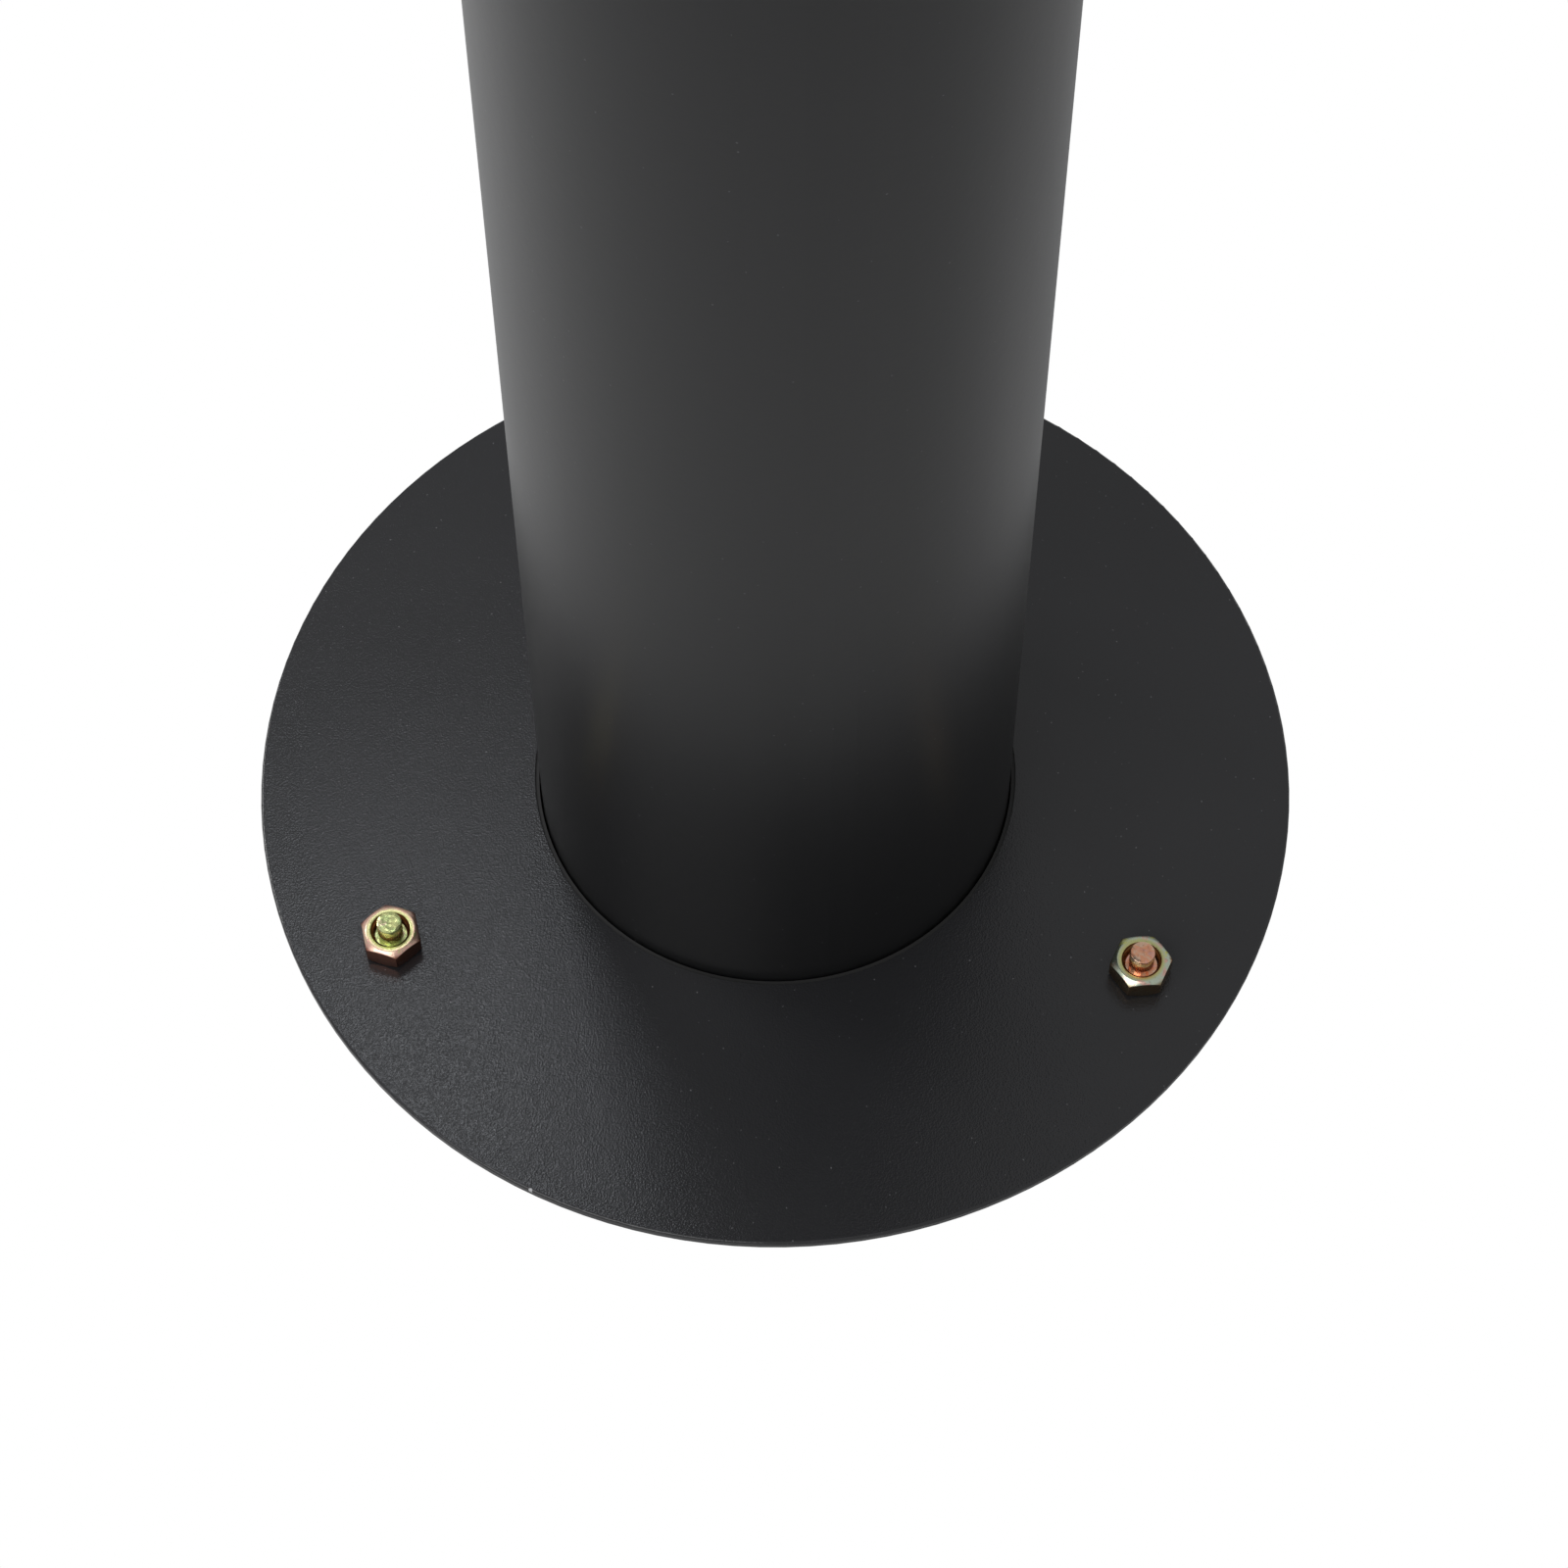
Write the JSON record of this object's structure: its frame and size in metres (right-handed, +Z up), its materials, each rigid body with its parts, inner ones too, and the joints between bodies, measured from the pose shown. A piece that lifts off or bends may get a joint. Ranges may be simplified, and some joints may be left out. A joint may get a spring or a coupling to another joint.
{
  "type": "retractable bollard",
  "caption": "In-ground steel post that slides down into a casing under a thin round cover flange, with key-worked side latches, a gas strut and a folding lift handle.",
  "frame": {"origin": "on the post's axis at ground level, which is the underside of the cover flange", "axes": "+Z up along the post, -Y the side that the folded handle points to"},
  "size_m": [0.25, 0.25, 1.456],
  "materials": {
    "tube_paint": "satin",
    "flange_paint": "fine textured powder coat",
    "cap_paint": "satin",
    "yellow_zinc": "yellow-passivated zinc",
    "galvanised": "hot-dip galvanised",
    "stainless": "brushed",
    "bright_rod": "ground and chromed",
    "strut_paint": "gloss",
    "acetal": "machined",
    "seal_rubber": "matt",
    "drain_plastic": "moulded",
    "cast_alloy": "machined casting",
    "lock_brass": "turned",
    "latch_steel": "oiled",
    "reflective": "retroreflective film"
  },
  "bodies": {
    "casing": {"cover_flange": "flange_paint", "mounting_ring": "galvanised", "casing_tube": "galvanised", "bottom_plate": "galvanised", "drain_spigot": "drain_plastic", "drain_grate": "stainless", "guide_rail": "galvanised", "guide_bush": "acetal", "wiper_seal": "seal_rubber", "buffer_ring": "seal_rubber", "strike_boxes": "galvanised", "bump_stops": "seal_rubber", "anchor_studs": "yellow_zinc", "anchor_sleeves": "yellow_zinc", "anchor_nuts": "yellow_zinc", "concrete_ties": "galvanised", "strut_bracket": "galvanised", "strut_pin": "stainless", "strut_clip": "stainless", "strut_cylinder": "strut_paint", "strut_gland": "latch_steel"},
    "post": {"post_tube": "tube_paint", "post_cap": "cap_paint", "cap_screws": "stainless", "reflective_band": "reflective", "lock_barrel": "lock_brass", "handle_pins": "stainless", "flap_pin": "stainless", "top_plate": "galvanised", "rod_guide": "galvanised", "latch_housing": "cast_alloy", "latch_cover": "cast_alloy", "latch_cover_screws": "stainless", "housing_screws": "stainless", "slider_ring_upper": "acetal", "slider_ring_lower": "acetal", "slider_screws": "stainless", "strut_rod": "bright_rod", "strut_piston": "latch_steel", "strut_nut": "yellow_zinc"},
    "lock_shaft": {"key_spindle": "latch_steel", "spindle_pin": "stainless", "spindle_clip": "stainless", "lock_rod": "bright_rod", "lock_pinion": "latch_steel", "pinion_pin": "stainless"},
    "left_latch": {"latch_left": "latch_steel"},
    "right_latch": {"latch_right": "latch_steel"},
    "handle": {"lift_handle": "stainless"},
    "flap": {"lock_flap": "stainless"}
  },
  "joints": [
    {"name": "post_slide", "type": "slide", "parent": "casing", "child": "post", "axis": [0, 0, 1], "range_m": [-0.598, 0], "stiffness_N_per_m": 83.6, "springref_m": 1.794},
    {"name": "lock_turn", "type": "hinge", "parent": "post", "child": "lock_shaft", "pos_m": [0, 0, 0.58], "axis": [0, 0, 1], "range_deg": [0, 90]},
    {"name": "left_latch_slide", "type": "slide", "parent": "post", "child": "left_latch", "axis": [-1, 0, 0], "range_m": [0, 0.0165]},
    {"name": "right_latch_slide", "type": "slide", "parent": "post", "child": "right_latch", "axis": [1, 0, 0], "range_m": [0, 0.0165]},
    {"name": "handle_fold", "type": "hinge", "parent": "post", "child": "handle", "pos_m": [0, -0.008, 0.5947], "axis": [-1, 0, 0], "range_deg": [0, 90]},
    {"name": "flap_fold", "type": "hinge", "parent": "post", "child": "flap", "pos_m": [0, 0.018, 0.598], "axis": [-1, 0, 0], "range_deg": [0, 95]}
  ],
  "couplings": [
    {"joint": "left_latch_slide", "follows": "lock_turn", "m_per_rad": 0.0105},
    {"joint": "right_latch_slide", "follows": "lock_turn", "m_per_rad": 0.0105}
  ]
}
